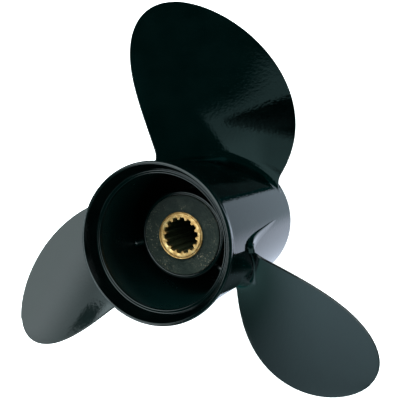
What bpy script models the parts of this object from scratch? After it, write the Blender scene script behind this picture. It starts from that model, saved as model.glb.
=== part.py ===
"""Three-bladed outboard motor propeller with a through-hub exhaust and a rubber-cushioned splined hub.

The shaft axis is Z, and +Z points aft, away from the engine's gearcase. The origin is on the shaft
axis in the plane of the barrel's front face, so the propeller stands on that face.
"""
import math

import bmesh
import bpy
from mathutils import Vector

# Driving dimensions, in metres
LENGTH = 0.1455            # barrel, front face to rear rim
BARREL_R = 0.0496          # outside of the barrel
BORE_FRONT_R = 0.0452      # inside of the barrel, with a little casting draft
BORE_REAR_R = 0.0438
RIM_R = 0.0520             # widest part of the flared ring
RING_LENGTH = 0.0130       # flared ring, measured forward from the rim
RING_LIP = 0.0016          # radius of its outer edge
RING_LIP_INNER_R = 0.0497  # inner edge of the lip
RING_LIP_INNER_ROUND = 0.0004
RING_LEDGE_R = 0.0459      # outer edge of the flat ledge at the bottom of the cone
RING_LEDGE_DEPTH = 0.0100
RING_LEDGE_ROUND = 0.0005

PROP_R = 0.1493            # blade tip
BLADES = 3
FIRST_BLADE_DEG = 90.0     # azimuth of the first blade's root
DATUM_R = 0.04472          # radius at which the blade's laws start
BLADE_Z = LENGTH - 0.0944  # height of the blade's generator line at the datum radius
RAKE = 0.4516              # aft rise of the generator line for each unit of radius
PITCH_ROOT = 0.4661
PITCH_CHANGE = -0.0266     # from the root to the tip
HALF_WIDTH = (0.631, -0.3008, 0.1781, -0.1607)   # half angle of the blade against the share of its height
TIP_ROUND = 3.698          # higher is squarer
SKEW = (0.0322, 0.1511, 0.0758)
ROOT_THICK = 0.0078
TIP_THICK = 0.0030
EDGE_THICK = 0.0014
HOLLOW = 0.0070            # the working face is hollow, since its pitch grows towards the trailing edge
FACE_WAVE = 0.0010
ROOT_FILLET = 0.0100       # rounded root at mid chord
ROOT_FILLET_LEADING = 0.0050
ROOT_FILLET_TRAILING = 0.0090

HUB_FRONT = 0.0100         # inner hub
HUB_REAR = LENGTH - 0.0450
HUB_R = 0.0306
HUB_BORE_R = 0.0280
BUSH_FRONT = 0.0180        # rubber bush
BUSH_REAR = LENGTH - 0.0444
SLEEVE_FRONT = 0.0140      # splined sleeve
SLEEVE_REAR = LENGTH - 0.0438
SLEEVE_R = 0.0155
SLEEVE_CHAMFER = 0.0010
TEETH = 14
SPLINE_TURN_DEG = 6.1      # azimuth of the first tooth
SPLINE_MAJOR_R = 0.0122
SPLINE_MINOR_R = 0.0107
RIB_THICK = 0.0050
RIB_FRONT = 0.0220
RIB_REAR = LENGTH - 0.0570
GAP = 0.0003               # between neighbouring pieces

ROUND_STEPS = 96


def clear_scene():
    for obj in list(bpy.data.objects):
        bpy.data.objects.remove(obj, do_unlink=True)


def material(name, colour, roughness, metallic=0.0, coat=0.0):
    mat = bpy.data.materials.new(name)
    mat.use_nodes = True
    shader = mat.node_tree.nodes["Principled BSDF"]
    shader.inputs["Base Color"].default_value = (*colour, 1.0)
    shader.inputs["Roughness"].default_value = roughness
    shader.inputs["Metallic"].default_value = metallic
    shader.inputs["Coat Weight"].default_value = coat
    return mat


def black_paint():
    return material("black_paint", (0.012, 0.014, 0.015), 0.22, coat=0.5)


def rubber():
    return material("rubber", (0.055, 0.062, 0.060), 0.62)


def brass():
    return material("brass", (0.62, 0.40, 0.13), 0.34, metallic=1.0)


def add_object(name, bm, mat, sharp_deg=30.0):
    bmesh.ops.recalc_face_normals(bm, faces=bm.faces)
    mesh = bpy.data.meshes.new(name)
    bm.to_mesh(mesh)
    bm.free()
    mesh.shade_smooth()
    mesh.set_sharp_from_angle(angle=math.radians(sharp_deg))
    mesh.materials.append(mat)
    obj = bpy.data.objects.new(name, mesh)
    bpy.context.scene.collection.objects.link(obj)
    return obj


def add_ring_faces(bm, loops, closed):
    """Quads between loops of equal length, closing the last loop onto the first one if asked."""
    count = len(loops)
    for i in range(count if closed else count - 1):
        near = loops[i]
        far = loops[(i + 1) % count]
        size = len(near)
        for j in range(size):
            k = (j + 1) % size
            bm.faces.new((near[j], near[k], far[k], far[j]))


def turned(name, profile, mat, steps=ROUND_STEPS):
    """A closed (radius, height) profile turned once round the shaft axis."""
    bm = bmesh.new()
    loops = []
    for i in range(steps):
        angle = 2 * math.pi * i / steps
        c = math.cos(angle)
        s = math.sin(angle)
        loops.append([bm.verts.new((r * c, r * s, z)) for r, z in profile])
    add_ring_faces(bm, loops, True)
    return add_object(name, bm, mat)


def arc(centre_r, centre_z, radius, start_deg, end_deg, steps):
    """Points of a rounded edge in the (radius, height) plane."""
    points = []
    for i in range(steps + 1):
        a = math.radians(start_deg + (end_deg - start_deg) * i / steps)
        points.append((centre_r + radius * math.cos(a), centre_z + radius * math.sin(a)))
    return points


def build_barrel(mat):
    top = LENGTH - RING_LENGTH - GAP
    profile = [(BORE_FRONT_R, 0.0008), (BORE_FRONT_R + 0.0008, 0.0)]
    profile += [(BARREL_R - 0.0010, 0.0)] + arc(BARREL_R - 0.0010, 0.0010, 0.0010, -60, 0, 2)
    profile += [(BARREL_R, top), (BORE_REAR_R, top)]
    turned("barrel", profile, mat)


def build_diffuser_ring(mat):
    base = LENGTH - RING_LENGTH
    flare = RING_LENGTH - 2 * RING_LIP
    profile = [(BORE_REAR_R, base), (BARREL_R, base)]
    for i in range(1, 6):
        share = i / 5
        profile.append((BARREL_R + share ** 1.8 * (RIM_R - BARREL_R), base + 0.001 + share * (flare - 0.001)))
    profile += arc(RIM_R - RING_LIP, LENGTH - RING_LIP, RING_LIP, 0, 90, 4)
    soft = RING_LIP_INNER_ROUND
    profile += arc(RING_LIP_INNER_R + soft, LENGTH - soft, soft, 90, 155, 2)
    ledge = LENGTH - RING_LEDGE_DEPTH
    soft = RING_LEDGE_ROUND
    profile += [(RING_LEDGE_R, ledge)] + arc(BORE_REAR_R + soft, ledge - soft, soft, 90, 180, 3)
    turned("diffuser_ring", profile, mat)


def build_inner_hub(mat):
    soft = 0.0008
    profile = [(HUB_BORE_R, HUB_FRONT), (HUB_R - soft, HUB_FRONT), (HUB_R, HUB_FRONT + soft)]
    profile += [(HUB_R, HUB_REAR - soft), (HUB_R - soft, HUB_REAR), (HUB_BORE_R, HUB_REAR)]
    turned("inner_hub", profile, mat)


def build_rubber_bush(mat):
    inner = SLEEVE_R + GAP
    outer = HUB_BORE_R - GAP
    soft = 0.0006
    profile = [(inner, BUSH_FRONT), (outer - soft, BUSH_FRONT), (outer, BUSH_FRONT + soft)]
    profile += [(outer, BUSH_REAR - soft), (outer - soft, BUSH_REAR), (inner, BUSH_REAR)]
    turned("rubber_bush", profile, mat, 84)


def spline_points():
    """One tooth of the internal spline, as (share of the tooth's angle, radius)."""
    major = SPLINE_MAJOR_R
    minor = SPLINE_MINOR_R
    flank = 0.5 * (major + minor)
    return [(0.04, minor), (0.28, minor), (0.36, flank), (0.44, major), (0.88, major), (0.96, flank)]


def build_splined_sleeve(mat):
    bm = bmesh.new()
    loops = []
    chamfer = SLEEVE_CHAMFER
    for tooth in range(TEETH):
        for share, inner in spline_points():
            angle = math.radians(SPLINE_TURN_DEG) + 2 * math.pi * (tooth + share) / TEETH
            c = math.cos(angle)
            s = math.sin(angle)
            outline = [
                (inner, SLEEVE_FRONT),
                (SLEEVE_R - chamfer, SLEEVE_FRONT),
                (SLEEVE_R, SLEEVE_FRONT + chamfer),
                (SLEEVE_R, SLEEVE_REAR - chamfer),
                (SLEEVE_R - chamfer, SLEEVE_REAR),
                (inner, SLEEVE_REAR),
            ]
            loops.append([bm.verts.new((r * c, r * s, z)) for r, z in outline])
    add_ring_faces(bm, loops, True)
    add_object("splined_sleeve", bm, mat)


def build_ribs(mat):
    """Three webs join the inner hub to the barrel, one under each blade."""
    for index in range(BLADES):
        angle = math.radians(FIRST_BLADE_DEG + index * 360.0 / BLADES)
        out = Vector((math.cos(angle), math.sin(angle), 0))
        side = Vector((-out.y, out.x, 0))
        bm = bmesh.new()
        loops = []
        for z, outer in ((RIB_FRONT, BORE_FRONT_R - 0.0012), (RIB_REAR, BORE_REAR_R - 0.0004)):
            inner = HUB_R + GAP
            half = RIB_THICK / 2
            corners = ((inner, -half), (outer, -half), (outer, half), (inner, half))
            loops.append([bm.verts.new(out * a + side * b + Vector((0, 0, z))) for a, b in corners])
        add_ring_faces(bm, loops, False)
        bm.faces.new(loops[0])
        bm.faces.new(loops[1])
        add_object("rib_%d" % (index + 1), bm, mat)


def blade_point(radius, chord, azimuth):
    """A point of the blade's middle surface. chord runs from -1 at the leading edge to 1 at the trailing edge."""
    t = (radius - DATUM_R) / (PROP_R - DATUM_R)
    width = sum(c * t ** n for n, c in enumerate(HALF_WIDTH)) * math.sqrt(max(0.0, 1 - t ** TIP_ROUND))
    skew = sum(c * t ** (n + 1) for n, c in enumerate(SKEW))
    turn = skew + chord * width
    pitch = PITCH_ROOT + PITCH_CHANGE * t
    z = BLADE_Z + RAKE * (radius - DATUM_R) + pitch * turn / (2 * math.pi)
    angle = azimuth + turn
    return Vector((radius * math.cos(angle), radius * math.sin(angle), z))


def blade_normal(radius, chord, azimuth):
    small = 1e-4
    along = blade_point(radius, chord + small, azimuth) - blade_point(radius, chord - small, azimuth)
    up = blade_point(radius + small, chord, azimuth) - blade_point(radius - small, chord, azimuth)
    return up.cross(along).normalized(), along.normalized()


def blade_thickness(radius, chord):
    t = max(0.0, (radius - DATUM_R) / (PROP_R - DATUM_R))
    middle = ROOT_THICK + (TIP_THICK - ROOT_THICK) * t ** 0.8
    return EDGE_THICK + (middle - EDGE_THICK) * (1 - abs(chord) ** 2.2)


def face_hollow(radius, chord):
    """How far the working face lies below the plain screw surface."""
    t = (radius - DATUM_R) / (PROP_R - DATUM_R)
    return (HOLLOW * t * (1 - t * t) + FACE_WAVE * chord) * (1 - chord * chord)


def fillet(height, chord):
    """What the rounded root adds on each side at this height above the barrel."""
    edge = ROOT_FILLET_TRAILING if chord > 0 else ROOT_FILLET_LEADING
    size = ROOT_FILLET + (edge - ROOT_FILLET) * chord ** 4
    if height >= size:
        return 0.0
    return size - math.sqrt(size ** 2 - (size - height) ** 2)


def on_radius(point, radius):
    flat = math.hypot(point.x, point.y)
    return Vector((point.x * radius / flat, point.y * radius / flat, point.z))


def blade_loop(radius, height, azimuth, columns, rounding):
    """One section of the blade: its aft side, trailing edge, forward side and leading edge.

    Returns the loop's points and the number of them on one side.
    """
    half_edge = 0.5 * EDGE_THICK
    half_chord = 0.5 * (blade_point(radius, 1, azimuth) - blade_point(radius, -1, azimuth)).length
    reach = max(0.3, 1 - half_edge / half_chord)
    aft = []
    forward = []
    turns = []
    for i in range(columns + 1):
        chord = reach * math.sin(0.5 * math.pi * (2 * i / columns - 1))
        extra = fillet(height, chord)
        point = blade_point(radius, chord, azimuth)
        normal, along = blade_normal(radius, chord, azimuth)
        top = half_edge - face_hollow(radius, chord)
        full = blade_thickness(radius, chord)
        aft.append(point + normal * (top + extra))
        forward.append(point + normal * (top - full - extra))
        turns.append((normal, along, 0.5 * full + extra, half_edge + extra))
    ends = []
    for i, side in ((columns, 1), (0, -1)):
        middle = 0.5 * (aft[i] + forward[i])
        normal, along, half, depth = turns[i]
        edge = []
        for j in range(1, rounding):
            a = side * math.pi * j / rounding
            edge.append(middle + normal * (half * side * math.cos(a)) + along * (depth * math.sin(a)))
        ends.append(edge)
    points = aft + ends[0] + forward[::-1] + ends[1]
    return [on_radius(p, radius) for p in points]


def build_blade(index, mat):
    azimuth = math.radians(FIRST_BLADE_DEG + index * 360.0 / BLADES)
    root = BARREL_R + GAP
    columns = 18
    rounding = 6
    rows = 14
    last = (PROP_R - root) * 0.997
    heights = [ROOT_FILLET * (i / 6) ** 2 for i in range(6)]
    heights += [ROOT_FILLET + (last - ROOT_FILLET) * math.sin(0.5 * math.pi * i / rows) for i in range(rows + 1)]
    bm = bmesh.new()
    loops = []
    for height in heights:
        points = blade_loop(root + height, height, azimuth, columns, rounding)
        loops.append([bm.verts.new(p) for p in points])
    add_ring_faces(bm, loops, False)
    for loop, radius in ((loops[0], root), (loops[-1], root + last)):
        aft = loop[:columns + 1]
        forward = loop[columns + rounding:2 * columns + rounding + 1][::-1]
        lines = [loop[2 * columns + rounding + 1:][::-1]]
        for i in range(1, columns):
            inner = []
            for j in range(1, rounding):
                p = aft[i].co.lerp(forward[i].co, j / rounding)
                inner.append(bm.verts.new(on_radius(p, radius)))
            lines.append(inner)
        lines.append(loop[columns + 1:columns + rounding])
        lines = [[aft[i]] + lines[i] + [forward[i]] for i in range(columns + 1)]
        for i in range(columns):
            for j in range(rounding):
                bm.faces.new((lines[i][j], lines[i][j + 1], lines[i + 1][j + 1], lines[i + 1][j]))
    add_object("blade_%d" % (index + 1), bm, mat, 40.0)


def main():
    clear_scene()
    paint = black_paint()
    build_barrel(paint)
    build_diffuser_ring(paint)
    build_inner_hub(paint)
    build_ribs(paint)
    for index in range(BLADES):
        build_blade(index, paint)
    build_rubber_bush(rubber())
    build_splined_sleeve(brass())


main()
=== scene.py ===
"""Looks of the outboard motor propeller: the painted casting, the rubber bush and the brass sleeve."""
import math

import bpy
from mathutils import Matrix, Vector


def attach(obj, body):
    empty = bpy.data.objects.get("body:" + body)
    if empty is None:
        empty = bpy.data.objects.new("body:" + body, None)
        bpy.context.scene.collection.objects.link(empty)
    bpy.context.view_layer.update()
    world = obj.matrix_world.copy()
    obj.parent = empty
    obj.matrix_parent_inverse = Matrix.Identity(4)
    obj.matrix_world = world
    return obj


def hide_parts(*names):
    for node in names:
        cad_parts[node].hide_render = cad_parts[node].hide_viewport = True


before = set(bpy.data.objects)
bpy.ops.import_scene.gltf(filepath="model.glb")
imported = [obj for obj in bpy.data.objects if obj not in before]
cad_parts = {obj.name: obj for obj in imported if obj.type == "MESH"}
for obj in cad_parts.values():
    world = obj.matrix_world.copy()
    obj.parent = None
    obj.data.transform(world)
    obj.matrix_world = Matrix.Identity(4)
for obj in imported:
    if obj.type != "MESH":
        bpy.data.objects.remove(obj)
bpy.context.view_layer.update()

# Sizes are in metres, as in the part itself. The axis is Z, and the rear end is up.

# Barrel, and the flared ring at its rear
LENGTH = 0.1455
BARREL_R = 0.0496
BORE_FRONT_R = 0.0452
BORE_REAR_R = 0.0438
FRONT_EDGE_ROUND = 0.0010
FRONT_BORE_EASE = 0.0008
RIM_R = 0.0520
RING_LENGTH = 0.0130
RING_FLARE_START = 0.0010
RING_FLARE_CURVE = 1.8
RING_LIP = 0.0016
RING_LIP_INNER_R = 0.0497
RING_LIP_INNER_ROUND = 0.0007
RING_LEDGE_R = 0.0459
RING_LEDGE_DEPTH = 0.0100
RING_LEDGE_ROUND = 0.0008
# The eased corner between the inner cone and the ledge: radius past RING_LEDGE_R, height past the ledge
RING_LEDGE_CORNER = ((0.0004, 0.0009), (0.0001, 0.0003), (-0.0002, 0.00005))

# Blades: widths and turns are in radians round the axis, and pitch is in metres a turn
PROP_R = 0.1493
BLADES = 3
FIRST_BLADE_DEG = 90.0
DATUM_R = 0.04472
BLADE_Z = LENGTH - 0.0944
RAKE = 0.4516
PITCH_ROOT = 0.4661
PITCH_CHANGE = -0.0266
HALF_WIDTH = (0.631, -0.3008, 0.1781, -0.1607)
TIP_ROUND = 3.698
SKEW = (0.0322, 0.1511, 0.0758)
ROOT_THICK = 0.0078
TIP_THICK = 0.0030
EDGE_THICK = 0.0014
THICK_FADE = 0.8              # how fast the middle thins from root to tip
THICK_SPREAD = 2.2            # how full the section stays towards its edges
HOLLOW = 0.0070
FACE_WAVE = 0.0010
ROOT_FILLET = 0.0090          # rounded root, from the leading edge to mid chord
ROOT_FILLET_TRAILING = 0.0014
FILLET_CHANGE = 0.35          # share of the half chord, behind the middle, over which it shrinks
FILLET_CHANGE_CURVE = 0.8
ROOT_SWEEP_LEADING = 0.0008   # how far the edges of the blade sweep out where they meet the barrel
ROOT_SWEEP_TRAILING = 0.0115
EDGE_SWELL = 0.6              # how much of the fillet the rounded edges take on
BLADE_FOOT = 0.0010           # how far the blade runs on into the barrel's wall
TIP_END = 0.9995              # share of the blade's height at which it is closed
FACE_STEPS = 56
EDGE_STEPS = 12
FILLET_ROWS = 20
BLADE_ROWS = 64

# Crest that runs on from the root of each trailing edge: degrees past the blade's middle, height up
# the barrel, and how far it stands out
TAIL_CREST = (
    (37.5, 0.1025, 0.0034),
    (41.0, 0.1048, 0.0029),
    (44.2, 0.1046, 0.0024),
    (46.9, 0.1008, 0.0019),
    (48.7, 0.0935, 0.0014),
    (49.9, 0.0855, 0.0010),
    (50.9, 0.0760, 0.0007),
    (51.9, 0.0660, 0.0005),
    (52.9, 0.0560, 0.0003),
    (53.8, 0.0430, 0.00005),
)
# Its section: how far across, in widths of the crest, and how high, as a share of what it stands out
CREST_SECTION = (
    (1.3, -0.15), (1.0, 0.0), (0.8, 0.12), (0.55, 0.5), (0.3, 0.85), (0.0, 1.0),
    (-0.6, 0.97), (-1.4, 0.80), (-2.6, 0.48), (-4.0, 0.2), (-5.4, 0.05), (-6.4, -0.05),
)
CREST_FOOT = (-3.0, -1.0, 0.0, 1.0)
CREST_FOOT_DEPTH = 0.0010
CREST_WIDTH_LEAST = 0.0002
CREST_WIDTH_GAIN = 0.0020     # the width grows as the crest does, up to this much
CREST_ROWS = 60

# Inner hub and its webs
HUB_FRONT = 0.0100
HUB_REAR = LENGTH - 0.0450
HUB_R = 0.0306
HUB_BORE_R = 0.0280
HUB_EDGE_ROUND = 0.0012
HUB_BORE_ROUND = 0.0006
WEB_THICK = 0.0050
WEB_FRONT = 0.0220
WEB_REAR = LENGTH - 0.0570
WEB_FOOT = 0.0030
WEB_FOOT_SPREAD = 0.8
WEB_IN_HUB = 0.0006
WEB_IN_BARREL = 0.0012
WEB_END_POINTS = 10

# Rubber bush. Its rear face is given as radius and height past BUSH_REAR.
BUSH_FRONT = 0.0180
BUSH_REAR = LENGTH - 0.0444
BUSH_FRONT_ROUND = 0.0012
BUSH_REAR_ROUND = 0.0008
BUSH_FACE = (
    (0.0257, -0.0001), (0.0222, -0.0003), (0.0188, -0.0003), (0.0178, -0.0002),
    (0.0171, 0.0001), (0.0166, 0.0003), (0.0161, 0.0002),
)

# Splined sleeve. The flange and the groove inside it are given as radius and height past SLEEVE_REAR.
SLEEVE_FRONT = 0.0140
SLEEVE_REAR = LENGTH - 0.0438
SLEEVE_R = 0.0155
SLEEVE_FRONT_CHAMFER = 0.0009
SLEEVE_FLANGE = (
    (0.0163, -0.0001), (0.0164, 0.0001), (0.0163, 0.0005), (0.0160, 0.0007), (0.0157, 0.0006),
    (0.0155, 0.0001), (0.0152, 0.0001), (0.0150, 0.0006), (0.0146, 0.0008), (0.0141, 0.00075),
    (0.0134, 0.00065),
)
SPLINE_MOUTH = SLEEVE_REAR + 0.0005
SPLINE_EASE = 0.0004
SPLINE_MAJOR_R = 0.0122
SPLINE_MINOR_R = 0.0107
SPLINE_TURN_DEG = 6.1
TEETH = 14
TOOTH_POINTS = 20

# The camera: its place, and what is right and up in its view
CAMERA_PLACE = (0.1423917, 0.1019008, 0.4610355)
CAMERA_RIGHT = (0.8503404, 0.2282905, -0.4741357)
CAMERA_UP = (-0.3280640, 0.9344564, -0.1384383)
CAMERA_LENS = 52.43
CAMERA_SHIFT = (0.143, 0.0934)

# The studio: the light that falls on the propeller, and the dim green of the room
LIGHT_AIM = (0, 0, 0.05)
LIGHT_SIZE = 0.8
ROOM_COLOUR = (0.0, 0.068, 0.062)


# Modelling helpers

def deselect_all():
    bpy.ops.object.select_all(action="DESELECT")


def finish_piece(piece, name, smooth_deg):
    """Names the piece, applies its place, points its faces outwards and shades it."""
    piece.name = name
    piece.data.name = name
    bpy.ops.object.transform_apply(location=True, rotation=True, scale=True)
    bpy.ops.object.mode_set(mode="EDIT")
    bpy.ops.mesh.select_all(action="SELECT")
    bpy.ops.mesh.remove_doubles(threshold=1e-6)
    bpy.ops.mesh.normals_make_consistent(inside=False)
    bpy.ops.object.mode_set(mode="OBJECT")
    bpy.ops.object.shade_smooth_by_angle(angle=math.radians(smooth_deg))
    return piece


def arc(centre_r, centre_z, radius, start_deg, end_deg, steps):
    """Points of a rounded corner of a section, as (radius, height)."""
    points = []
    for i in range(steps + 1):
        a = math.radians(start_deg + (end_deg - start_deg) * i / steps)
        points.append((centre_r + radius * math.cos(a), centre_z + radius * math.sin(a)))
    return points


def turned_piece(name, section, sides):
    """A circle at the section's first point, extruded, widened and raised to each of the others in turn."""
    deselect_all()
    radius, height = section[0]
    bpy.ops.mesh.primitive_circle_add(vertices=sides, radius=radius, location=(0, 0, height))
    piece = bpy.context.object
    bpy.ops.object.mode_set(mode="EDIT")
    bpy.ops.mesh.select_mode(type="EDGE")
    bpy.ops.mesh.select_all(action="SELECT")
    for next_radius, next_height in section[1:] + section[:1]:
        bpy.ops.mesh.extrude_edges_move()
        grow = next_radius / radius
        bpy.ops.transform.resize(value=(grow, grow, 1), center_override=(0, 0, height))
        bpy.ops.transform.translate(value=(0, 0, next_height - height))
        radius, height = next_radius, next_height
    bpy.ops.mesh.select_mode(type="VERT")
    bpy.ops.object.mode_set(mode="OBJECT")
    return finish_piece(piece, name, smooth_deg=35)


def wrapped_sheet(name, around, along, place, smooth_deg):
    """A grid rolled into a tube, whose open ends are filled.

    place(i, j) gives the point of column i, of around, in row j, of along + 1.
    """
    deselect_all()
    bpy.ops.mesh.primitive_grid_add(x_subdivisions=around, y_subdivisions=along, size=1)
    piece = bpy.context.object
    row = around + 1
    for index, vert in enumerate(piece.data.vertices):
        vert.co = place(index % row % around, index // row)
    bpy.ops.object.mode_set(mode="EDIT")
    bpy.ops.mesh.select_mode(type="VERT")
    bpy.ops.mesh.select_all(action="SELECT")
    bpy.ops.mesh.remove_doubles(threshold=1e-7)
    bpy.ops.mesh.select_all(action="DESELECT")
    bpy.ops.mesh.select_non_manifold()
    bpy.ops.mesh.edge_face_add()
    bpy.ops.object.mode_set(mode="OBJECT")
    return finish_piece(piece, name, smooth_deg)


# Casting: barrel and ring

def barrel_section():
    """Section of the barrel and its flared ring: front face, outside, lip, inner cone, ledge, bore."""
    base = LENGTH - RING_LENGTH
    flare = RING_LENGTH - 2 * RING_LIP
    ledge = LENGTH - RING_LEDGE_DEPTH
    outside_rows = 60
    flare_rows = 16
    bore_rows = 12
    ease = FRONT_BORE_EASE
    section = [(BORE_FRONT_R, ease), (BORE_FRONT_R + 0.25 * ease, 0.25 * ease), (BORE_FRONT_R + ease, 0.0)]
    soft = FRONT_EDGE_ROUND
    section += [(BARREL_R - soft, 0.0)] + arc(BARREL_R - soft, soft, soft, -75, 0, 4)
    section += [(BARREL_R, base * i / outside_rows) for i in range(1, outside_rows + 1)]
    for i in range(1, flare_rows + 1):
        share = i / flare_rows
        radius = BARREL_R + share ** RING_FLARE_CURVE * (RIM_R - BARREL_R)
        section.append((radius, base + RING_FLARE_START + share * (flare - RING_FLARE_START)))
    section += arc(RIM_R - RING_LIP, LENGTH - RING_LIP, RING_LIP, 0, 90, 10)
    soft = RING_LIP_INNER_ROUND
    section += arc(RING_LIP_INNER_R + soft, LENGTH - soft, soft, 90, 155, 6)
    section += [(RING_LEDGE_R + across, ledge + up) for across, up in RING_LEDGE_CORNER]
    soft = RING_LEDGE_ROUND
    section += [(BORE_REAR_R + 2 * soft, ledge)] + arc(BORE_REAR_R + soft, ledge - soft, soft, 90, 180, 6)
    for i in range(1, bore_rows):
        share = i / bore_rows
        section.append((BORE_REAR_R + share * (BORE_FRONT_R - BORE_REAR_R), ledge * (1 - share)))
    return section


def make_barrel():
    piece = turned_piece("barrel_casting", barrel_section(), sides=192)
    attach(piece, "root")
    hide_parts("barrel", "diffuser_ring")
    return piece


# Casting: blades

def blade_azimuth_deg(index):
    return FIRST_BLADE_DEG + index * 360.0 / BLADES


def up_the_blade(radius):
    """0 at the datum radius near the root, and 1 at the tip."""
    return (radius - DATUM_R) / (PROP_R - DATUM_R)


def blade_point(radius, chord, azimuth):
    """A point of the blade's screw surface. chord runs from -1, leading edge, to 1, trailing edge."""
    t = up_the_blade(radius)
    width = sum(c * t ** n for n, c in enumerate(HALF_WIDTH)) * math.sqrt(max(0.0, 1 - t ** TIP_ROUND))
    skew = sum(c * t ** (n + 1) for n, c in enumerate(SKEW))
    turn = skew + chord * width
    pitch = PITCH_ROOT + PITCH_CHANGE * t
    z = BLADE_Z + RAKE * (radius - DATUM_R) + pitch * turn / (2 * math.pi)
    angle = azimuth + turn
    return Vector((radius * math.cos(angle), radius * math.sin(angle), z))


def face_hollow(radius, chord):
    """How far the working face lies below the screw surface, most of all a little past halfway up."""
    t = up_the_blade(radius)
    return (HOLLOW * t * (1 - t * t) + FACE_WAVE * chord) * (1 - chord * chord)


def blade_axes(radius, chord, azimuth):
    """The blade's normal, on its aft side, and the direction towards its trailing edge."""
    step = 1e-4
    along = blade_point(radius, chord + step, azimuth) - blade_point(radius, chord - step, azimuth)
    up = blade_point(radius + step, chord, azimuth) - blade_point(radius - step, chord, azimuth)
    return up.cross(along).normalized(), along.normalized()


def thickness(radius, chord):
    t = max(0.0, up_the_blade(radius))
    middle = ROOT_THICK + (TIP_THICK - ROOT_THICK) * t ** THICK_FADE
    return EDGE_THICK + (middle - EDGE_THICK) * (1 - abs(chord) ** THICK_SPREAD)


def quarter_round(height, size):
    """How far a hollow corner of this radius stands out, at this height above what it runs into."""
    if height >= size:
        return 0.0
    height = max(height, 0.0)
    return size - math.sqrt(size ** 2 - (size - height) ** 2)


def root_fillet(height, chord):
    """What the rounded root adds to each face. It is even forward of the middle, and shrinks behind it."""
    share = min(1.0, max(0.0, chord) / FILLET_CHANGE) ** FILLET_CHANGE_CURVE
    return quarter_round(height, ROOT_FILLET + (ROOT_FILLET_TRAILING - ROOT_FILLET) * share)


def root_sweep(height, chord):
    """How far the section is drawn out along its chord, so that its edges curve into the barrel."""
    if chord > 0:
        return quarter_round(height, ROOT_SWEEP_TRAILING) * chord ** 4
    return -quarter_round(height, ROOT_SWEEP_LEADING) * chord ** 4


def on_radius(point, radius):
    flat = math.hypot(point.x, point.y)
    return Vector((point.x * radius / flat, point.y * radius / flat, point.z))


def blade_rows():
    """Heights above the barrel of the blade's sections, close together in the fillet and at the tip."""
    rows = [-BLADE_FOOT]
    rows += [ROOT_FILLET * (i / FILLET_ROWS) ** 2 for i in range(FILLET_ROWS)]
    last = (PROP_R - BARREL_R) * TIP_END
    for i in range(BLADE_ROWS + 1):
        rows.append(ROOT_FILLET + (last - ROOT_FILLET) * math.sin(0.5 * math.pi * i / BLADE_ROWS))
    return rows


def blade_loop(height, azimuth, closed):
    """One section: along the aft face, round the trailing edge, and back the same way on the other side.

    A closed section has all its points on its middle line, and ends the blade.
    """
    radius = BARREL_R + height
    half_edge = 0.5 * EDGE_THICK
    half_chord = 0.5 * (blade_point(radius, 1, azimuth) - blade_point(radius, -1, azimuth)).length
    least_reach = 0.3
    reach = max(least_reach, 1 - half_edge / half_chord)
    aft = []
    forward = []
    turns = []
    for i in range(FACE_STEPS + 1):
        chord = reach * math.sin(0.5 * math.pi * (2 * i / FACE_STEPS - 1))
        extra = root_fillet(height, chord)
        point = blade_point(radius, chord, azimuth)
        normal, along = blade_axes(radius, chord, azimuth)
        point = point + along * root_sweep(height, chord)
        top = half_edge - face_hollow(radius, chord)
        full = min(thickness(radius, chord), half_chord)
        aft.append(point + normal * (top + extra))
        forward.append(point + normal * (top - full - extra))
        turns.append((normal, along, 0.5 * full + extra, half_edge + EDGE_SWELL * extra))
    if closed:
        middle = [on_radius(0.5 * (a + f), radius) for a, f in zip(aft, forward)]
        return middle + [middle[-1]] * (EDGE_STEPS - 1) + middle[::-1] + [middle[0]] * (EDGE_STEPS - 1)
    ends = []
    for i, sign in ((FACE_STEPS, 1), (0, -1)):
        centre = 0.5 * (aft[i] + forward[i])
        normal, along, half, depth = turns[i]
        for j in range(1, EDGE_STEPS):
            a = sign * math.pi * j / EDGE_STEPS
            ends.append(centre + normal * (half * sign * math.cos(a)) + along * (depth * math.sin(a)))
    points = aft + ends[:EDGE_STEPS - 1] + forward[::-1] + ends[EDGE_STEPS - 1:]
    return [on_radius(p, radius) for p in points]


def make_blade(index):
    azimuth = math.radians(blade_azimuth_deg(index))
    rows = blade_rows()
    loops = [blade_loop(rows[0], azimuth, True)]
    loops += [blade_loop(height, azimuth, False) for height in rows]
    loops.append(blade_loop(rows[-1], azimuth, True))

    def place(i, j):
        return loops[j][i]

    name = "blade_%d_casting" % (index + 1)
    piece = wrapped_sheet(name, len(loops[0]), len(loops) - 1, place, smooth_deg=60)
    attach(piece, "root")
    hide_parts("blade_%d" % (index + 1))
    return piece


def between_keys(keys, share):
    """A smooth curve through the keys, at this share of its length."""
    place = share * (len(keys) - 1)
    i = min(int(place), len(keys) - 2)
    t = place - i
    before = keys[max(i - 1, 0)]
    after = keys[min(i + 2, len(keys) - 1)]
    result = []
    for a, b, c, d in zip(before, keys[i], keys[i + 1], after):
        bend = 2 * a - 5 * b + 4 * c - d
        twist = 3 * b - a - 3 * c + d
        result.append(0.5 * (2 * b + (c - a) * t + bend * t * t + twist * t ** 3))
    return result


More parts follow.
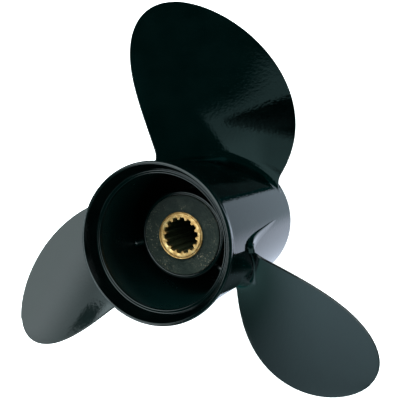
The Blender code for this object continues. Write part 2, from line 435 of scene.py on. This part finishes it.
def make_root_tail(index):
    """The crest that carries the trailing edge on along the barrel, with one steep side and one gentle."""
    azimuth = blade_azimuth_deg(index)
    look_ahead = 0.01
    outline = [(across, up, True) for across, up in CREST_SECTION]
    outline += [(across, 0.0, False) for across in CREST_FOOT]

    def place(i, j):
        share = j / CREST_ROWS
        turn, z, stands = between_keys(TAIL_CREST, share)
        ahead = between_keys(TAIL_CREST, min(share + look_ahead, 1.0))
        behind = between_keys(TAIL_CREST, max(share - look_ahead, 0.0))
        run = Vector((math.radians(ahead[0] - behind[0]) * BARREL_R, ahead[1] - behind[1])).normalized()
        across, up, shows = outline[i]
        radius = BARREL_R + (up * stands if shows else -CREST_FOOT_DEPTH)
        step = across * (min(stands, CREST_WIDTH_GAIN) + CREST_WIDTH_LEAST)
        angle = math.radians(azimuth + turn) - step * run.y / BARREL_R
        return Vector((radius * math.cos(angle), radius * math.sin(angle), z + step * run.x))

    name = "blade_%d_root_tail" % (index + 1)
    piece = wrapped_sheet(name, len(outline), CREST_ROWS, place, smooth_deg=60)
    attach(piece, "root")
    return piece


# Casting: inner hub and webs

def make_hub_tube():
    soft = HUB_EDGE_ROUND
    section = arc(HUB_BORE_R + soft, HUB_FRONT + soft, soft, 180, 270, 4)
    section += arc(HUB_R - soft, HUB_FRONT + soft, soft, 270, 360, 4)
    section += arc(HUB_R - soft, HUB_REAR - soft, soft, 0, 90, 5)
    soft = HUB_BORE_ROUND
    section += arc(HUB_BORE_R + soft, HUB_REAR - soft, soft, 90, 180, 3)
    piece = turned_piece("hub_tube_casting", section, sides=144)
    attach(piece, "root")
    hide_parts("inner_hub")
    return piece


def make_web(index):
    """A web between the hub tube and the barrel, with rounded ends and a widened foot on both."""
    azimuth = math.radians(blade_azimuth_deg(index))
    inner = HUB_R - WEB_IN_HUB
    outer = BORE_REAR_R + WEB_IN_BARREL
    steps = 7
    crowding = 1.6
    foot = [WEB_FOOT * (i / steps) ** crowding for i in range(steps + 1)]
    stations = [inner + rise for rise in foot] + [outer - rise for rise in foot[::-1]]
    half = 0.5 * WEB_THICK

    def corner(i):
        """Outline of the web seen along its radius: a slot, with half of the points round each end."""
        end = 1 if i < WEB_END_POINTS else -1
        turn = math.pi * ((i % WEB_END_POINTS) / (WEB_END_POINTS - 1))
        return end, math.cos(turn) * end, math.sin(turn) * end

    def place(i, j):
        radius = stations[j]
        near = min(radius - inner, outer - radius)
        wide = half + WEB_FOOT_SPREAD * quarter_round(near, WEB_FOOT)
        end, across, up = corner(i)
        tangential = across * wide
        middle = WEB_REAR - half if end > 0 else WEB_FRONT + half
        z = middle + up * wide
        reach = math.sqrt(radius ** 2 - tangential ** 2)
        return Vector((
            reach * math.cos(azimuth) - tangential * math.sin(azimuth),
            reach * math.sin(azimuth) + tangential * math.cos(azimuth),
            z,
        ))

    name = "web_%d_casting" % (index + 1)
    piece = wrapped_sheet(name, 2 * WEB_END_POINTS, len(stations) - 1, place, smooth_deg=60)
    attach(piece, "root")
    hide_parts("rib_%d" % (index + 1))
    return piece


# Rubber and brass

def make_bush():
    inner = SLEEVE_R + 0.0002
    outer = HUB_BORE_R - 0.0001
    dish = 0.0004
    dish_edge = 0.0030
    section = [(inner, BUSH_FRONT), (inner + dish_edge, BUSH_FRONT + dish)]
    section += [(outer - dish_edge, BUSH_FRONT + dish)]
    soft = BUSH_FRONT_ROUND
    section += arc(outer - soft, BUSH_FRONT + soft, soft, 270, 360, 4)
    soft = BUSH_REAR_ROUND
    section += arc(outer - soft, BUSH_REAR - soft, soft, 0, 90, 5)
    section += [(radius, BUSH_REAR + stands) for radius, stands in BUSH_FACE]
    section += [(inner, BUSH_REAR - 0.0002)]
    piece = turned_piece("bush_moulding", section, sides=168)
    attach(piece, "root")
    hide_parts("rubber_bush")
    return piece


def spline_radius(share):
    """Radius of the internal spline at this share of one tooth's angle, with the corners eased."""
    tooth_middle = 0.16
    half_tooth = 0.17
    flank = 0.10
    distance = abs(share - tooth_middle)
    distance = min(distance, 1 - distance)
    rise = min(1.0, max(0.0, (distance - half_tooth + 0.5 * flank) / flank))
    rise = rise * rise * (3 - 2 * rise)
    return SPLINE_MINOR_R + rise * (SPLINE_MAJOR_R - SPLINE_MINOR_R)


def make_sleeve():
    """The sleeve: outside, a thin flange on the rubber, a groove inside the flange, and the spline."""
    around = TEETH * TOOTH_POINTS
    bore_rows = 6
    chamfer = SLEEVE_FRONT_CHAMFER
    outer = [(SLEEVE_R - chamfer, SLEEVE_FRONT), (SLEEVE_R, SLEEVE_FRONT + chamfer)]
    outer += [(SLEEVE_R, SLEEVE_REAR - 0.0010), (SLEEVE_R, SLEEVE_REAR - 0.0001)]
    outer += [(radius, SLEEVE_REAR + stands) for radius, stands in SLEEVE_FLANGE]
    front = [(0.0, SLEEVE_FRONT + SPLINE_EASE), (SPLINE_EASE, SLEEVE_FRONT)]
    bore = [(SPLINE_EASE, SPLINE_MOUTH), (0.0, SPLINE_MOUTH - SPLINE_EASE)]
    bore += [(0.0, SLEEVE_REAR + (SLEEVE_FRONT - SLEEVE_REAR) * i / bore_rows) for i in range(1, bore_rows)]

    def place(i, j):
        tooth = spline_radius((i % TOOTH_POINTS) / TOOTH_POINTS)
        angle = math.radians(SPLINE_TURN_DEG) + 2 * math.pi * i / around
        line = [(tooth + grow, z) for grow, z in front] + outer + [(tooth + grow, z) for grow, z in bore]
        line.append(line[0])
        radius, z = line[j]
        return Vector((radius * math.cos(angle), radius * math.sin(angle), z))

    rows = len(front) + len(outer) + len(bore)
    piece = wrapped_sheet("sleeve_turning", around, rows, place, smooth_deg=35)
    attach(piece, "root")
    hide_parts("splined_sleeve")
    return piece


# Node helpers. Each adds its nodes to a material's or the world's tree and returns what they give.

def feed(tree, socket, value):
    """Links the socket to another node's output, or sets it to a number or a colour."""
    if isinstance(value, bpy.types.NodeSocket):
        tree.links.new(value, socket)
    elif isinstance(value, tuple):
        socket.default_value = (*value, 1)
    else:
        socket.default_value = value


def maths(tree, operation, *values):
    """A Math node over these values, each a number or an output."""
    node = tree.nodes.new("ShaderNodeMath")
    node.operation = operation
    for socket, value in zip(node.inputs, values):
        feed(tree, socket, value)
    return node.outputs[0]


def times(tree, *values):
    result = values[0]
    for value in values[1:]:
        result = maths(tree, "MULTIPLY", result, value)
    return result


def sloped(tree, value, other, slope):
    """value + slope * other."""
    return maths(tree, "ADD", value, maths(tree, "MULTIPLY", other, slope))


def scaled(tree, value, low, high, new_low, new_high, easing="LINEAR"):
    """Carries low to high over to new_low to new_high, and stays there beyond them."""
    node = tree.nodes.new("ShaderNodeMapRange")
    node.interpolation_type = easing
    node.inputs["From Min"].default_value = low
    node.inputs["From Max"].default_value = high
    node.inputs["To Min"].default_value = new_low
    node.inputs["To Max"].default_value = new_high
    feed(tree, node.inputs["Value"], value)
    return node.outputs["Result"]


def soft_step(tree, value, start, end):
    """0 before start and 1 after end, eased between them. start may be the larger."""
    if start < end:
        return scaled(tree, value, start, end, 0.0, 1.0, "SMOOTHSTEP")
    return scaled(tree, value, end, start, 1.0, 0.0, "SMOOTHSTEP")


def noise(tree, place, scale, detail, rough):
    node = tree.nodes.new("ShaderNodeTexNoise")
    node.inputs["Scale"].default_value = scale
    node.inputs["Detail"].default_value = detail
    node.inputs["Roughness"].default_value = rough
    feed(tree, node.inputs["Vector"], place)
    return node.outputs["Fac"]


def ramp(tree, value, *stops):
    """Turns a value into a colour. stops are (position, colour)."""
    node = tree.nodes.new("ShaderNodeValToRGB")
    points = node.color_ramp.elements
    while len(points) < len(stops):
        points.new(0.5)
    for point, (position, colour) in zip(points, stops):
        point.position = position
        point.color = (*colour, 1)
    feed(tree, node.inputs["Fac"], value)
    return node.outputs["Color"]


def mixed(tree, share, first, second):
    """The first colour where share is 0, and the second where it is 1."""
    node = tree.nodes.new("ShaderNodeMix")
    node.data_type = "RGBA"
    feed(tree, node.inputs["Factor"], share)
    first_socket, second_socket = [i for i in node.inputs if i.type == "RGBA"]
    feed(tree, first_socket, first)
    feed(tree, second_socket, second)
    return [o for o in node.outputs if o.type == "RGBA"][0]


def bumps(tree, *layers):
    """Lays bump on bump. layers are (height, strength, distance in metres)."""
    normal = None
    for height, strength, distance in layers:
        node = tree.nodes.new("ShaderNodeBump")
        node.inputs["Strength"].default_value = strength
        node.inputs["Distance"].default_value = distance
        feed(tree, node.inputs["Height"], height)
        if normal is not None:
            feed(tree, node.inputs["Normal"], normal)
        normal = node.outputs["Normal"]
    return normal


def own_place(tree):
    """The surface's own place, in metres."""
    return tree.nodes.new("ShaderNodeTexCoord").outputs["Object"]


def axes_of(tree, vector):
    node = tree.nodes.new("ShaderNodeSeparateXYZ")
    feed(tree, node.inputs[0], vector)
    return node.outputs


def from_axis(tree, x, y):
    """Distance from the propeller's axis."""
    squares = maths(tree, "ADD", maths(tree, "MULTIPLY", x, x), maths(tree, "MULTIPLY", y, y))
    return maths(tree, "SQRT", squares)


# Finishes

def new_material(name):
    mat = bpy.data.materials.new(name)
    mat.use_nodes = True
    return mat, mat.node_tree, mat.node_tree.nodes["Principled BSDF"].inputs


def dress(piece, mat):
    piece.data.materials.clear()
    piece.data.materials.append(mat)


def in_the_bore(tree, place):
    """1 inside the barrel, in front of the ring's ledge and clear of the hub tube, and 0 elsewhere."""
    x, y, z = axes_of(tree, place)
    radius = from_axis(tree, x, y)
    ledge = LENGTH - RING_LEDGE_DEPTH
    inside = scaled(tree, radius, BORE_FRONT_R + 0.0003, BORE_FRONT_R + 0.0008, 1.0, 0.0)
    beyond_hub = scaled(tree, radius, HUB_R + 0.0025, HUB_R + 0.0035, 0.0, 1.0)
    deep = scaled(tree, z, ledge - 0.0040, ledge, 1.0, 0.0)
    return times(tree, inside, beyond_hub, deep)


def gloss_black_paint():
    """Stoved black paint with a faint orange peel and a film of dust. In the bore it is rougher, and its
    colour is lifted to a dim green there, a painted sheen.
    """
    mat, tree, shader = new_material("gloss_black_paint")
    place = own_place(tree)
    tone = noise(tree, place, 55, 4, 0.6)
    black = ramp(tree, tone, (0.35, (0.0001, 0.0006, 0.0006)), (0.65, (0.0006, 0.0018, 0.0017)))
    dust = scaled(tree, noise(tree, place, 1900, 2, 0.6), 0.70, 0.80, 0.0, 0.25)
    black = mixed(tree, dust, black, (0.010, 0.013, 0.013))
    bore = in_the_bore(tree, place)
    # Painted sheen: in the bore the colour is lifted towards a dim green that stands in for the room's green
    # light seen on the paint.
    painted_bore_sheen = maths(tree, "MULTIPLY", bore, scaled(tree, tone, 0.3, 0.7, 0.7, 1.0))
    feed(tree, shader["Base Color"], mixed(tree, painted_bore_sheen, black, (0.0006, 0.008, 0.0075)))
    film = noise(tree, place, 26, 5, 0.65)
    feed(tree, shader["Roughness"], sloped(tree, scaled(tree, film, 0.3, 0.7, 0.02, 0.06), bore, 0.22))
    shader["IOR"].default_value = 1.5
    peel = noise(tree, place, 520, 2, 0.5)
    fine = noise(tree, place, 1500, 2, 0.5)
    feed(tree, shader["Normal"], bumps(tree, (peel, 1.0, 0.00006), (fine, 0.5, 0.00001)))
    return mat


def moulded_rubber():
    """Black rubber with a matt skin, grey bloom, pores and a few torn crumbs."""
    mat, tree, shader = new_material("moulded_rubber")
    place = own_place(tree)
    cloud = noise(tree, place, 120, 6, 0.75)
    darkest = (0.002, 0.006, 0.004)
    usual = (0.007, 0.012, 0.009)
    bloom = (0.026, 0.032, 0.025)
    skin = ramp(tree, cloud, (0.30, darkest), (0.50, usual), (0.70, bloom))
    patches = scaled(tree, noise(tree, place, 60, 2, 0.5), 0.44, 0.60, 0.0, 1.0)
    crumbs = scaled(tree, noise(tree, place, 900, 3, 0.6), 0.60, 0.66, 0.0, 0.8)
    crumbs = maths(tree, "MULTIPLY", patches, crumbs)
    feed(tree, shader["Base Color"], mixed(tree, crumbs, skin, (0.20, 0.17, 0.12)))
    feed(tree, shader["Roughness"], scaled(tree, cloud, 0.3, 0.7, 0.50, 0.72))
    shader["Specular IOR Level"].default_value = 0.28
    pores = noise(tree, place, 700, 4, 0.65)
    feed(tree, shader["Normal"], bumps(tree, (cloud, 0.8, 0.0010), (pores, 1.0, 0.0005)))
    return mat


def turned_brass():
    """Turned brass: rings of the tool round the axis, a brown film, and darker splines."""
    mat, tree, shader = new_material("turned_brass")
    place = own_place(tree)
    x, y, z = axes_of(tree, place)
    radius = from_axis(tree, x, y)
    rings = tree.nodes.new("ShaderNodeCombineXYZ")
    feed(tree, rings.inputs[0], radius)
    feed(tree, rings.inputs[1], maths(tree, "MULTIPLY", z, 0.6))
    tool = noise(tree, rings.outputs[0], 5200, 2, 0.6)
    film = noise(tree, place, 330, 4, 0.6)
    brown = (0.34, 0.17, 0.055)
    worn = (0.50, 0.29, 0.11)
    bright = (0.72, 0.50, 0.24)
    gold = ramp(tree, film, (0.30, brown), (0.50, worn), (0.72, bright))
    depth = scaled(tree, z, SLEEVE_REAR - 0.0040, SLEEVE_REAR - 0.0003, 1.0, 0.0)
    inside = scaled(tree, radius, SPLINE_MAJOR_R + 0.0001, SPLINE_MAJOR_R + 0.0006, 1.0, 0.0)
    dark = maths(tree, "MULTIPLY", depth, inside)
    feed(tree, shader["Base Color"], mixed(tree, dark, gold, (0.075, 0.085, 0.045)))
    feed(tree, shader["Metallic"], scaled(tree, dark, 0.0, 1.0, 1.0, 0.45))
    feed(tree, shader["Roughness"], scaled(tree, film, 0.3, 0.7, 0.46, 0.30))
    feed(tree, shader["Normal"], bumps(tree, (tool, 0.35, 0.00003), (film, 0.3, 0.00005)))
    return mat


# Studio

def floor_paper(name, light, dark, glow):
    """Matt paper with a faint grain."""
    mat, tree, shader = new_material(name)
    grain = noise(tree, own_place(tree), 45, 5, 0.6)
    feed(tree, shader["Base Color"], ramp(tree, grain, (0.3, dark), (0.7, light)))
    feed(tree, shader["Roughness"], scaled(tree, grain, 0.3, 0.7, 0.75, 0.9))
    shader["Emission Color"].default_value = (1, 1, 1, 1)
    shader["Emission Strength"].default_value = glow
    return mat


def add_floor():
    """The pale floor, and a near-black disc on it that closes the barrel's front end in what the paint
    mirrors: painted shade for the inside of the barrel.
    """
    deselect_all()
    bpy.ops.mesh.primitive_plane_add(size=8, location=(0, 0, 0))
    floor = bpy.context.object
    floor.name = "studio_floor"
    dress(floor, floor_paper("white_paper", (0.92, 0.92, 0.92), (0.88, 0.88, 0.88), 0.85))
    floor.visible_glossy = False
    deselect_all()
    # Painted shade: the disc under the barrel is near-black paper with no glow, standing for the shade
    # inside the barrel.
    reach = BORE_FRONT_R + 0.0006
    place = (0, 0, 0.0001)
    bpy.ops.mesh.primitive_circle_add(vertices=192, radius=reach, fill_type="NGON", location=place)
    shade = bpy.context.object
    shade.name = "painted_shade_inside_barrel"
    dress(shade, floor_paper("painted_shade_paper", (0.012, 0.014, 0.014), (0.008, 0.010, 0.010), 0.0))


def ceiling_light(tree, x, y, z, height):
    """A large soft light overhead, laid out flat at one metre up, with two straight soft edges."""
    level = maths(tree, "MAXIMUM", z, 0.2)
    across = maths(tree, "DIVIDE", x, level)
    along = maths(tree, "DIVIDE", y, level)
    near = soft_step(tree, sloped(tree, along, across, 0.55), -0.42, -0.12)
    side = soft_step(tree, sloped(tree, across, along, -0.6), 0.30, -0.05)
    return times(tree, near, side, soft_step(tree, height, 36, 44))


def dark_stand(tree, turn, height):
    """The dark thing that stands before the left wall, a narrow shape that leans."""
    middle_turn = 157.5
    middle_height = 8.0
    lean_up = 0.8
    lean_across = 0.6
    beside = maths(tree, "SUBTRACT", turn, middle_turn)
    above = maths(tree, "SUBTRACT", height, middle_height)
    length = sloped(tree, maths(tree, "MULTIPLY", beside, lean_across), above, -lean_up)
    length = maths(tree, "ABSOLUTE", length)
    width = sloped(tree, maths(tree, "MULTIPLY", beside, lean_up), above, lean_across)
    width = maths(tree, "ABSOLUTE", width)
    return times(tree, soft_step(tree, length, 8.5, 6.5), soft_step(tree, width, 3.2, 2.0))


def studio_parts(tree, turn, height, x, y, z):
    """The lit parts of the room: how much of each is seen, and the light it adds.

    turn is the way round the room and height the way up, both in degrees. A straight slanting edge is
    a step in one of them plus a share of the other. The last part takes the room's green off the floor.
    """
    def step(value, start, end):
        return soft_step(tree, value, start, end)

    def band(value, rise, fall):
        """0, then 1 from the end of rise to the start of fall, then 0 again."""
        return times(tree, step(value, *rise), step(value, *fall[::-1]))

    below_ceiling = step(height, 44, 36)
    lit = maths(tree, "SUBTRACT", 1.0, maths(tree, "MULTIPLY", dark_stand(tree, turn, height), 0.85))
    left_edge = step(sloped(tree, height, turn, 0.65), 95.4, 102.4)
    left_wall = times(tree, band(turn, (98, 112), (162, 176)), below_ceiling, left_edge, lit)
    left_top = times(tree, left_wall, step(height, 13, 38))
    left_end = times(tree, band(turn, (60, 80), (98, 112)), band(height, (28, 36), (36, 44)))
    low_wall = times(tree, band(turn, (158, 166), (198, 204)), band(height, (-40, -30), (-4, 4)))
    near_wall = times(tree, band(turn, (190, 198), (258, 262)), band(height, (-47, -39), (34, 52)))
    near_edge = step(sloped(tree, height, turn, 0.7), 129.5, 170.5)
    near_lit = times(tree, near_wall, near_edge, step(turn, 256, 247))
    window = times(tree, band(turn, (196, 206), (255, 259)), band(height, (24, 38), (54, 57)))

    edge = sloped(tree, turn, height, -0.4)
    top = sloped(tree, height, turn, 0.15)
    right_wall = times(tree, step(edge, -27.5, -31.5), step(height, -40, -28))
    right_low = times(tree, step(edge, -31.5, -27.5), band(height, (-62, -50), (-2.5, 2)))
    right_low = times(tree, right_low, step(sloped(tree, turn, height, 0.75), -9, -15))
    right_low = times(tree, right_low, step(sloped(tree, turn, height, 1.3), -58, -48))
    right = maths(tree, "ADD", times(tree, right_wall, step(top, 21, 14.5)), right_low)
    right = times(tree, right, step(turn, -84, -76))
    right_bright = maths(tree, "ADD", times(tree, right_wall, step(top, 12, 0)), right_low)
    right_bright = times(tree, right_bright, step(turn, -60, -46))

    faint_edge = step(maths(tree, "ADD", turn, height), 24, 44)
    faint = times(tree, faint_edge, band(turn, (-26, -18), (60, 76)), band(height, (4, 14), (36, 44)))
    floor = times(tree, step(sloped(tree, turn, height, 0.5), 34, 29), step(height, -55.5, -61.5))
    floor_right = times(tree, floor, step(turn, 16, -16))
    floor_near = times(tree, step(turn, 215, 225), step(height, -54, -60))
    return (
        (left_wall, (0.92, 1.12, 1.16)),
        (left_top, (1.60, 1.80, 1.85)),
        (left_end, (2.45, 2.90, 2.95)),
        (ceiling_light(tree, x, y, z, height), (2.50, 2.95, 3.00)),
        (low_wall, (0.95, 1.15, 1.20)),
        (near_wall, (0.07, 0.08, 0.085)),
        (near_lit, (0.58, 0.82, 0.93)),
        (window, (3.20, 3.60, 3.70)),
        (right, (0.26, 0.44, 0.45)),
        (right_bright, (0.14, 0.24, 0.24)),
        (faint, (0.03, 0.13, 0.13)),
        (floor, (0.50, 0.60, 0.70)),
        (floor_right, (0.42, 0.42, 0.52)),
        (floor_near, (0.75, 0.85, 1.00)),
        (step(height, -60, -66), (0.0, -0.040, -0.034)),
    )


def add_studio_walls():
    """The dim room with its lit walls, which the gloss paint mirrors. The camera itself sees white."""
    world = bpy.data.worlds.new("studio")
    bpy.context.scene.world = world
    world.use_nodes = True
    tree = world.node_tree
    x, y, z = axes_of(tree, tree.nodes.new("ShaderNodeTexCoord").outputs["Generated"])
    height = maths(tree, "DEGREES", maths(tree, "ARCSINE", z))
    turn = maths(tree, "WRAP", maths(tree, "DEGREES", maths(tree, "ARCTAN2", y, x)), 260.0, -100.0)
    room = tree.nodes.new("ShaderNodeRGB")
    room.outputs[0].default_value = (*ROOM_COLOUR, 1)
    total = room.outputs[0]
    for share, colour in studio_parts(tree, turn, height, x, y, z):
        lit = tree.nodes.new("ShaderNodeVectorMath")
        lit.operation = "MULTIPLY_ADD"
        feed(tree, lit.inputs[0], share)
        lit.inputs[1].default_value = colour
        feed(tree, lit.inputs[2], total)
        total = lit.outputs[0]
    mirrored = tree.nodes["Background"]
    feed(tree, mirrored.inputs["Color"], total)
    seen = tree.nodes.new("ShaderNodeBackground")
    seen.inputs["Color"].default_value = (1, 1, 1, 1)
    mix = tree.nodes.new("ShaderNodeMixShader")
    feed(tree, mix.inputs[0], tree.nodes.new("ShaderNodeLightPath").outputs["Is Camera Ray"])
    feed(tree, mix.inputs[1], mirrored.outputs[0])
    feed(tree, mix.inputs[2], seen.outputs[0])
    feed(tree, tree.nodes["World Output"].inputs["Surface"], mix.outputs[0])


def add_light(name, place, power):
    """A soft square light that the gloss paint doesn't mirror."""
    data = bpy.data.lights.new(name, "AREA")
    data.size = LIGHT_SIZE
    data.energy = power
    light = bpy.data.objects.new(name, data)
    light.visible_glossy = False
    bpy.context.scene.collection.objects.link(light)
    light.location = place
    light.rotation_euler = (Vector(LIGHT_AIM) - Vector(place)).to_track_quat("-Z", "Y").to_euler()


def add_camera():
    data = bpy.data.cameras.new("camera")
    data.lens = CAMERA_LENS
    data.sensor_width = 36
    data.shift_x, data.shift_y = CAMERA_SHIFT
    data.clip_start = 0.01
    camera = bpy.data.objects.new("camera", data)
    bpy.context.scene.collection.objects.link(camera)
    right = Vector(CAMERA_RIGHT)
    up = Vector(CAMERA_UP)
    turn = Matrix((right, up, right.cross(up))).transposed().to_4x4()
    camera.matrix_world = Matrix.Translation(CAMERA_PLACE) @ turn
    bpy.context.scene.camera = camera


black = gloss_black_paint()
rubber = moulded_rubber()
brass = turned_brass()

dress(make_barrel(), black)
dress(make_hub_tube(), black)
for number in range(BLADES):
    dress(make_blade(number), black)
    dress(make_root_tail(number), black)
    dress(make_web(number), black)
dress(make_bush(), rubber)
dress(make_sleeve(), brass)

add_floor()
add_light("key", (-0.8, 0.8, 1.2), 25)
add_light("fill", (1.2, -0.6, 0.6), 12)
add_studio_walls()
bpy.context.scene.view_settings.view_transform = "Standard"
add_camera()
